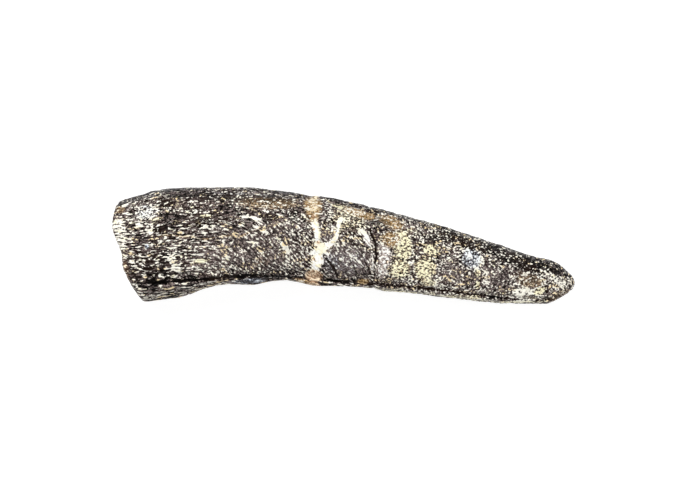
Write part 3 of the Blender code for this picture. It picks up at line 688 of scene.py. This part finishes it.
# Tints: where soft patches begin and are full, and how they are mixed
PATCH_RAGGED = 0.3
TINT_EDGE, RUST_EDGE = (0.1, 0.8), (0.1, 0.7)
BROWN_EDGE, YELLOW_EDGE = (0.42, 0.58), (0.54, 0.72)
GOLDEN_EDGE, GOLDEN_SHARE = (0.55, 0.62), 0.75
VEIN_YELLOW_EDGE, VEIN_TAN_EDGE, VEIN_YELLOW_SHARE = (0.46, 0.62), (0.4, 0.6), 0.8
HAIRLINE_GROUND, HAIRLINE_FLECKS = 0.8, 0.6

# How much stains, even enamel and the pale band hide the gaps, and stained places their flecks
SOFT_SHARE, SOFT_EVEN, LILAC_SHARE, RUST_SHARE, RUST_IN_VEIN = 0.75, 0.5, 0.92, 0.55, 0.6
SOFT_FLECKS = 0.3

# The broken face: where it begins inside the rim, its rings and its spots
BREAK_EDGE, BREAK_RAGGED = (0.96, 0.86), 0.2
RINGS, RING_WANDER, RING_EDGE, RING_SHARE = 14.0, 9.0, (0.6, 0.95), 0.6
DENTINE_EDGE, MATRIX_EDGE = (0.35, 0.65), (0.4, 0.6)
FILLED_EDGE, FILLED_RAGGED = (0.3, 0.6), 0.5
BREAK_GAPS, BREAK_FLECKS = (0.43, 0.36), (0.62, 0.68)

SKIN_ROUGHNESS, FLECK_ROUGHNESS = 0.32, 0.55
SHINE = 0.04
BUMP_STRENGTH, BUMP_DISTANCE = 0.8, 0.0002
BUMP_FINE, BUMP_CREST, BUMP_VALLEY = 0.35, 0.25, 0.35


class Nodes:
    """A material's nodes. Each call adds a node and gives the socket it makes."""

    def __init__(self, name):
        self.material = bpy.data.materials.new(name)
        self.material.use_nodes = True
        self.tree = self.material.node_tree
        self.tree.nodes.clear()

    def add(self, kind, inputs, output=0, **settings):
        """A node with these settings; inputs maps socket names or numbers to values or sockets."""
        node = self.tree.nodes.new("ShaderNode" + kind)
        for key, value in settings.items():
            setattr(node, key, value)
        for key, value in inputs.items():
            if isinstance(value, bpy.types.NodeSocket):
                self.tree.links.new(value, node.inputs[key])
            else:
                node.inputs[key].default_value = value
        return None if output is None else node.outputs[output]

    def value(self, name):
        """A number stored on the mesh's points."""
        return self.add("Attribute", {}, "Fac", attribute_name=name)

    def vector(self, name):
        """A vector stored on the mesh's points."""
        return self.add("Attribute", {}, "Vector", attribute_name=name)

    def math(self, operation, a, b=0.0):
        """A sum of this kind; the kinds that take one number leave b alone."""
        return self.add("Math", {0: a, 1: b}, operation=operation)

    def times(self, a, b):
        """The product of two numbers."""
        return self.math("MULTIPLY", a, b)

    def plus(self, a, b):
        """The sum of two numbers."""
        return self.math("ADD", a, b)

    def minus(self, a, b):
        """a less b."""
        return self.math("SUBTRACT", a, b)

    def larger(self, a, b):
        """The larger of two numbers."""
        return self.math("MAXIMUM", a, b)

    def square(self, a):
        """A number times itself."""
        return self.times(a, a)

    def step(self, low, high, value):
        """0 at low, 1 at high and a smooth ramp between; low may be the larger."""
        ends = {"Value": value, "From Min": low, "From Max": high, "To Min": 0.0, "To Max": 1.0}
        return self.add("MapRange", ends, interpolation_type="SMOOTHSTEP")

    def part(self, vector, number):
        """One of a vector's three numbers."""
        return self.add("SeparateXYZ", {0: vector}, number)

    def stretch(self, vector, sizes, shift=(0.0, 0.0, 0.0)):
        """Coordinates in which a feature of these sizes is one unit."""
        scale = tuple(1.0 / s for s in sizes)
        return self.add("Mapping", {"Vector": vector, "Scale": scale, "Location": shift})

    def noise(self, vector, detail=2.0, roughness=0.5):
        """Smooth noise about 0.5 in these coordinates."""
        settings = {"Vector": vector, "Scale": 1.0, "Detail": detail, "Roughness": roughness}
        return self.add("TexNoise", settings)

    def mix(self, share, a, b):
        """A colour between a and b."""
        return self.add("Mix", {0: share, 6: a, 7: b}, 2, data_type="RGBA")

    def blend(self, share, a, b):
        """A number between a and b."""
        return self.add("Mix", {0: share, 2: a, 3: b})


class Grain:
    """The noise fields that the enamel's colours and its bump share."""

    def __init__(self, n):
        self.n = n
        self.place, self.skin, self.bent = n.vector("place"), n.vector("skin"), n.vector("flow")
        self.slant, self.grainy, self.brim_shade = n.value("slant"), n.value("grainy"), n.value("brim_shade")
        between = {0: self.slant, 4: self.skin, 5: self.bent}
        self.flow = n.add("Mix", between, 1, data_type="VECTOR")
        self.crest = self.crests()
        self.flecks_and_glints = self.field(FLECK_SIZE, FLECK_GRAIN, detail=1.5)
        self.rows = self.field(ROW_SIZE, ROW_GRAIN, (8.0, 1.0, 3.0))
        self.valley = self.valleys()
        self.fine = self.spots(FINE_SIZE, (3.0, 8.0, 2.0), detail=1.0, roughness=0.6)
        self.mottle = self.spots(MOTTLE_SIZE, (1.0, 6.0, 2.0), detail=3.0, roughness=0.6)
        self.broad = self.spots(BROAD_SIZE, detail=3.0)
        self.golden = self.spots(GOLDEN_SIZE, (6.0, 3.0, 1.0), detail=1.0)
        jagged = n.plus(n.minus(self.mottle, 0.5), n.minus(self.fine, 0.5))
        self.ragged = n.times(jagged, RAGGEDNESS)
        swirl = n.add("TexNoise", {"Vector": self.place, "Scale": SWIRL_SCALE, "Detail": 1.0}, "Color")
        swirl = n.add("VectorMath", {0: swirl, 1: (0.5, 0.5, 0.5)}, operation="SUBTRACT")
        self.wobble = n.add("VectorMath", {0: swirl, "Scale": SWIRL_REACH}, operation="SCALE")

    def spots(self, sizes, shift=(0.0, 0.0, 0.0), **settings):
        """Noise with spots of these sizes, which pay no heed to the wrinkles."""
        n = self.n
        return n.noise(n.stretch(self.place, sizes, shift), **settings)

    def field(self, along_flow, grains, shift=(0.0, 0.0, 0.0), **settings):
        """Noise with long features along the wrinkles, and with round ones where they break up."""
        n = self.n
        straight = n.noise(n.stretch(self.skin, along_flow, shift), **settings)
        shorter = (SLANT_LENGTH * along_flow[0],) + along_flow[1:]
        bent = n.noise(n.stretch(self.bent, shorter, shift), **settings)
        round_ones = self.spots(grains, shift, **settings)
        return n.blend(self.grainy, n.blend(self.slant, straight, bent), round_ones)

    def crests(self):
        """1 on the crests of the wrinkles and 0 in their valleys; grains where they break up."""
        n = self.n
        rows = n.vector("rows")
        waves = [n.math("COSINE", n.times(n.part(rows, number), math.tau)) for number in (0, 1)]
        crest = n.plus(0.5, n.times(n.blend(self.slant, *waves), 0.5))
        return n.blend(self.grainy, crest, n.part(rows, 2))

    def valleys(self):
        """Thin dark lines along the wrinkles, and here and there painted shade in the bottoms of the
        valleys.
        """
        n = self.n
        folds = self.field(FOLD_SIZE, FOLD_GRAIN, (4.0, 2.0, 5.0))
        from_line = n.math("ABSOLUTE", n.minus(folds, 0.5))
        # painted shade in the bottoms of the valleys
        shaded_bottoms = n.times(n.step(*VALLEY_EDGE, self.crest), n.step(*VALLEY_FOLDS, folds))
        return n.larger(n.step(*FOLD_LINE, from_line), shaded_bottoms)

    def beads(self, coordinates, cell, share, largest, shift):
        """Separate round grains, in this share of the cells of a random pattern."""
        n = self.n
        uneven_ones = n.add("VectorMath", {0: coordinates, 1: self.wobble}, operation="ADD")
        cells = {"Vector": n.stretch(uneven_ones, cell, shift), "Scale": 1.0}
        distance = n.add("TexVoronoi", cells)
        draws = n.add("TexVoronoi", cells, "Color")
        chance = n.add("SeparateColor", {0: draws})
        size = n.add("SeparateColor", {0: draws}, 1)
        radius = n.times(n.plus(1 - BEAD_SPREAD, n.times(size, BEAD_SPREAD)), largest)
        present = n.step(0.0, 0.05, n.minus(share, chance))
        return n.times(present, n.step(radius, n.times(radius, BEAD_CORE), distance))


def lines_on(n, grain):
    """How much each kind of line covers the skin, with ragged edges."""
    covered = {}
    for name, (wide, narrow, ragged) in LINE_EDGES.items():
        covered[name] = n.step(wide, narrow, n.plus(n.value(name), n.times(grain.ragged, ragged)))
    return covered


def all_beads(n, grain):
    """Dots everywhere and dashes along the wrinkles: more in pale deposits, fewer on even enamel."""
    deposits = n.plus(n.square(n.value("white")), n.square(n.value("yellow")))
    share = n.plus(n.times(deposits, DEPOSIT_BEADS), n.step(*BEADED_ROWS, grain.rows))
    dots = grain.beads(grain.place, DOT_CELL, n.times(share, DOT_SHARE), DOT_LARGEST, (5.0, 1.0, 3.0))
    share = n.times(n.minus(share, n.times(n.value("even"), EVEN_BEADS)), DASH_SHARE)
    dashes = grain.beads(grain.flow, DASH_CELL, share, DASH_LARGEST, (2.0, 4.0, 9.0))
    return n.larger(dashes, dots)


def tone(n, grain, lines):
    """How pale the skin is: flecks and beads, partly painted glints, lie above FLECK_EDGE, gaps and
    cracks below GAP_EDGE.
    """
    even, slant, rust = n.value("even"), n.value("slant"), n.value("rust")
    # painted light and shade on the wrinkles: crests paler, valleys darker, less where even or slanting
    ridge_light_and_shade = n.times(n.minus(grain.crest, 0.5), n.minus(1.0, n.times(n.larger(even, slant), 0.5)))
    not_rusty = n.minus(1.0, rust)
    weighted = [
        # what varies from spot to spot
        # painted light and shade: crests paler, valleys darker
        (ridge_light_and_shade, 0.14),
        (all_beads(n, grain), 0.2),
        (n.minus(grain.fine, 0.5), 0.2),
        (n.minus(grain.broad, 0.5), 0.2),
        # what varies from one area to the next
        (1.0, -0.03),  # everywhere
        (n.square(n.value("white")), 0.24),
        (n.square(n.value("yellow")), 0.12),
        (n.square(n.value("dark")), -0.09),
        (n.value("lilac"), 0.05),
        (even, -0.03),
        (rust, 0.015),
        (slant, 0.012),
        (grain.grainy, 0.015),
        # painted shade along the lip side
        (grain.brim_shade, -0.05),
        # lines
        (n.times(lines["vein"], not_rusty), 0.28),
        (n.times(lines["vein"], n.value("tan")), -0.26),
        (lines["white_line"], 0.28),
        (lines["hairline"], 0.1),
        # painted shade: the groove is darkened in colour as well as cut
        (n.times(lines["groove"], not_rusty), -0.26),
        (lines["crease"], -0.22),
        (lines["crack"], -0.7),
    ]
    total = grain.flecks_and_glints
    for field, weight in weighted:
        total = n.plus(total, n.times(field, weight))
    return total


def tint(n, share, colours, tinted):
    """Each of the colours mixed with its tinted one."""
    return [n.mix(share, plain, other) for plain, other in zip(colours, tinted)]


def palette(n, grain, lines):
    """The colours of gaps, ground, pale ground and flecks at every place."""
    golden = n.times(n.step(*GOLDEN_EDGE, grain.golden), n.minus(GOLDEN_SHARE, n.value("white")))
    # the flecks' colours, for pale matrix and for painted glints
    flecks_and_glints = n.mix(golden, n.mix(n.step(*YELLOW_EDGE, grain.mottle), CREAM, YELLOW_CREAM), GOLD)
    colours = [n.mix(n.value("even"), GROUND, EVEN_GROUND), GROUND_PALE, flecks_and_glints]
    ragged = n.times(grain.ragged, PATCH_RAGGED)
    for name, tinted in TINTS.items():
        colours = tint(n, n.step(*TINT_EDGE, n.plus(n.value(name), ragged)), colours, tinted)

    vein = n.mix(n.step(*VEIN_YELLOW_EDGE, grain.mottle), WHITE, VEIN_CREAM)
    vein = n.mix(n.times(n.value("tan"), n.step(*VEIN_TAN_EDGE, grain.fine)), vein, TAN_PALE)
    vein = n.mix(n.times(n.value("yellow"), VEIN_YELLOW_SHARE), vein, YELLOW_CREAM)
    ground, pale, flecks_and_glints = tint(n, lines["vein"], colours, (TAN, VEIN_CREAM, vein))
    ground = n.mix(n.times(lines["hairline"], HAIRLINE_GROUND), ground, TAN)
    flecks_and_glints = n.mix(n.times(lines["hairline"], HAIRLINE_FLECKS), flecks_and_glints, TAN_PALE)
    rusty = n.step(*RUST_EDGE, n.plus(n.value("rust"), ragged))
    ground, pale, flecks_and_glints = tint(n, rusty, (ground, pale, flecks_and_glints), (RUST, RUST_PALE, RUST_LIGHT))
    # painted shade along the lip side: the ground and the pale ground turn darker grey
    ground = n.mix(grain.brim_shade, ground, BRIM_SHADE)
    pale = n.mix(grain.brim_shade, pale, COOL_GROUND)
    gaps = n.mix(n.step(*BROWN_EDGE, grain.broad), BLACK, BROWN_BLACK)
    return gaps, ground, pale, flecks_and_glints


def hidden_gaps(n, lines, soft):
    """How much the vein, deposits and stains hide the gaps."""
    rust = n.value("rust")
    vein = n.minus(lines["vein"], n.times(rust, RUST_IN_VEIN))
    lilac = n.times(n.value("lilac"), LILAC_SHARE)
    return n.larger(n.larger(vein, lilac), n.larger(soft, n.times(rust, RUST_SHARE)))


def ground_paint(n, grain, gap, ground, pale):
    """The ground between the flecks and gaps, which is deep and pale in fine spots."""
    keeps = n.plus(DEEP_LIGHT, n.times(n.value("even"), DEEP_LIGHT_EVEN))
    paint = n.mix(n.step(*DEEP_EDGE, grain.fine), n.mix(keeps, gap, ground), ground)
    paint = n.mix(n.step(*PALE_EDGE, grain.fine), paint, pale)
    dark = n.step(*DARK_EDGE, n.plus(n.value("dark"), n.times(grain.ragged, DARK_RAGGED)))
    return n.mix(n.times(dark, DARK_SHARE), paint, gap)


def enamel_paint(n, grain):
    """The enamel's colour, and how much of each spot is fleck: pale matrix and painted glint."""
    lines = lines_on(n, grain)
    paleness = tone(n, grain, lines)
    gap, ground, pale, fleck_and_glint = palette(n, grain, lines)
    paint = ground_paint(n, grain, gap, ground, pale)

    soft = n.times(n.larger(n.value("tan"), n.times(n.value("even"), SOFT_EVEN)), SOFT_SHARE)
    seen = n.minus(1.0, hidden_gaps(n, lines, soft))
    gaps = n.larger(n.step(*GAP_EDGE, paleness), grain.valley)
    rims = n.times(n.step(*RIM_EDGE, paleness), RIM_SHARE)
    paint = n.mix(n.times(n.larger(gaps, rims), seen), paint, gap)
    # the flecks: pale matrix and painted glints
    flecks_and_glints = n.times(n.step(*FLECK_EDGE, paleness), n.minus(1.0, n.times(soft, SOFT_FLECKS)))
    fleck_and_glint = n.mix(n.step(*FLECK_CORE, paleness), n.mix(0.5, pale, fleck_and_glint), fleck_and_glint)
    paint = n.mix(flecks_and_glints, paint, fleck_and_glint)
    return n.mix(n.larger(lines["crack"], lines["crease"]), paint, BROWN_BLACK), flecks_and_glints


def broken_face(n, grain):
    """The root's break: dentine in faint rings round the pulp hollow, which pale matrix fills."""
    rings = n.plus(n.times(n.value("inwards"), RINGS), n.times(grain.broad, RING_WANDER))
    ring = n.step(*RING_EDGE, n.math("PINGPONG", rings, 1.0))
    face = n.mix(n.step(*DENTINE_EDGE, grain.mottle), DENTINE, DENTINE_PALE)
    face = n.mix(n.times(ring, RING_SHARE), face, DENTINE_DARK)
    filling = n.mix(n.step(*MATRIX_EDGE, grain.mottle), MATRIX, MATRIX_PALE)
    filled = n.step(*FILLED_EDGE, n.plus(n.value("hollow"), n.times(grain.ragged, FILLED_RAGGED)))
    face = n.mix(filled, face, filling)
    face = n.mix(n.step(*BREAK_GAPS, grain.fine), face, BROWN_BLACK)
    return n.mix(n.step(*BREAK_FLECKS, grain.fine), face, CREAM)


def small_relief(n, grain):
    """The relief that is too fine for the mesh, as bent normals."""
    height = n.plus(grain.flecks_and_glints, n.times(grain.fine, BUMP_FINE))
    height = n.plus(height, n.times(grain.crest, BUMP_CREST))
    height = n.minus(height, n.times(grain.valley, BUMP_VALLEY))
    return n.add("Bump", {"Strength": BUMP_STRENGTH, "Distance": BUMP_DISTANCE, "Height": height})


def fossil_enamel():
    """Dark wrinkled enamel: pale matrix flecks, painted glints and shade, stains, vein, crack and
    break.
    """
    n = Nodes("fossil_enamel")
    grain = Grain(n)
    enamel, flecks_and_glints = enamel_paint(n, grain)
    inside = n.step(*BREAK_EDGE, n.plus(n.value("inwards"), n.times(grain.ragged, BREAK_RAGGED)))
    paint = n.mix(n.times(n.value("broken"), inside), enamel, broken_face(n, grain))
    surface = {
        "Base Color": paint, "Roughness": n.blend(flecks_and_glints, SKIN_ROUGHNESS, FLECK_ROUGHNESS),
        "Specular IOR Level": SHINE, "Normal": small_relief(n, grain),
    }
    n.add("OutputMaterial", {"Surface": n.add("BsdfPrincipled", surface)}, output=None)
    return n.material


# -------------------- floor, light and camera

FLOOR_SIZE, FLOOR_DROP = 2.0, 0.02 * MM
FLOOR_GREY, FLOOR_GLOW = (0.3, 0.3, 0.3, 1), 0.85  # the glow keeps it white under a faint shadow
WORLD_STRENGTH = 0.25
SOFT_BOXES = (  # (name, place in metres, size in metres, power in watts)
    ("key", (-0.25, 0.3, 0.55), 0.25, 4.3),
    ("fill", (0.35, -0.15, 0.5), 0.4, 1.5),
)

# The camera looks straight down from far off. These put the tooth where the photo has it.
PHOTO_WIDTH, TOOTH_WIDTH = 700, 464  # pixels
TOOTH_LENGTH = 52.0
OFF_CENTRE = (6.5, -1.25)  # the photo's middle in the tooth's frame, in pixels along x and y
SCALE_HEIGHT = 0.0042  # height above the floor, in metres, at which the scale is the photo's
LENS, SENSOR_WIDTH, CLIP_START = 400.0, 36.0, 0.01


def white_floor():
    """The white ground of the photo."""
    bpy.ops.mesh.primitive_plane_add(size=FLOOR_SIZE)
    floor = bpy.context.object
    floor.name = "floor"
    floor.location.z = -FLOOR_DROP
    material = bpy.data.materials.new("floor_white")
    material.use_nodes = True
    inputs = material.node_tree.nodes["Principled BSDF"].inputs
    inputs["Base Color"].default_value = FLOOR_GREY
    inputs["Roughness"].default_value = 1.0
    inputs["Specular IOR Level"].default_value = 0.0
    inputs["Emission Color"].default_value = (1, 1, 1, 1)
    inputs["Emission Strength"].default_value = FLOOR_GLOW
    floor.data.materials.append(material)


def area_light(name, place, size, power):
    """A square soft box that faces the tooth."""
    data = bpy.data.lights.new(name, "AREA")
    data.size = size
    data.energy = power
    light = bpy.data.objects.new(name, data)
    light.location = place
    light.rotation_euler = (-Vector(place)).to_track_quat("-Z", "Y").to_euler()
    bpy.context.scene.collection.objects.link(light)


def lights():
    """Even white light from all round and two soft boxes."""
    world = bpy.data.worlds.new("studio")
    world.use_nodes = True
    inputs = world.node_tree.nodes["Background"].inputs
    inputs["Color"].default_value = (1, 1, 1, 1)
    inputs["Strength"].default_value = WORLD_STRENGTH
    bpy.context.scene.world = world
    for box in SOFT_BOXES:
        area_light(*box)


def camera():
    """The photo's view."""
    data = bpy.data.cameras.new("camera")
    data.lens = LENS
    data.sensor_width = SENSOR_WIDTH
    data.clip_start = CLIP_START
    view = bpy.data.objects.new("camera", data)
    frame_width = PHOTO_WIDTH * TOOTH_LENGTH / TOOTH_WIDTH * MM
    x, y = (pixels / PHOTO_WIDTH * frame_width for pixels in OFF_CENTRE)
    view.location = (x, y, SCALE_HEIGHT + frame_width * LENS / SENSOR_WIDTH)
    bpy.context.scene.collection.objects.link(view)
    bpy.context.scene.camera = view


def main():
    """Builds the dressed tooth and the place where it is photographed."""
    piece = build_skin()
    piece.data.materials.clear()
    piece.data.materials.append(fossil_enamel())
    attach(piece, "root")
    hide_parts("tooth")
    white_floor()
    lights()
    camera()
    bpy.context.scene.view_settings.view_transform = "Standard"


main()
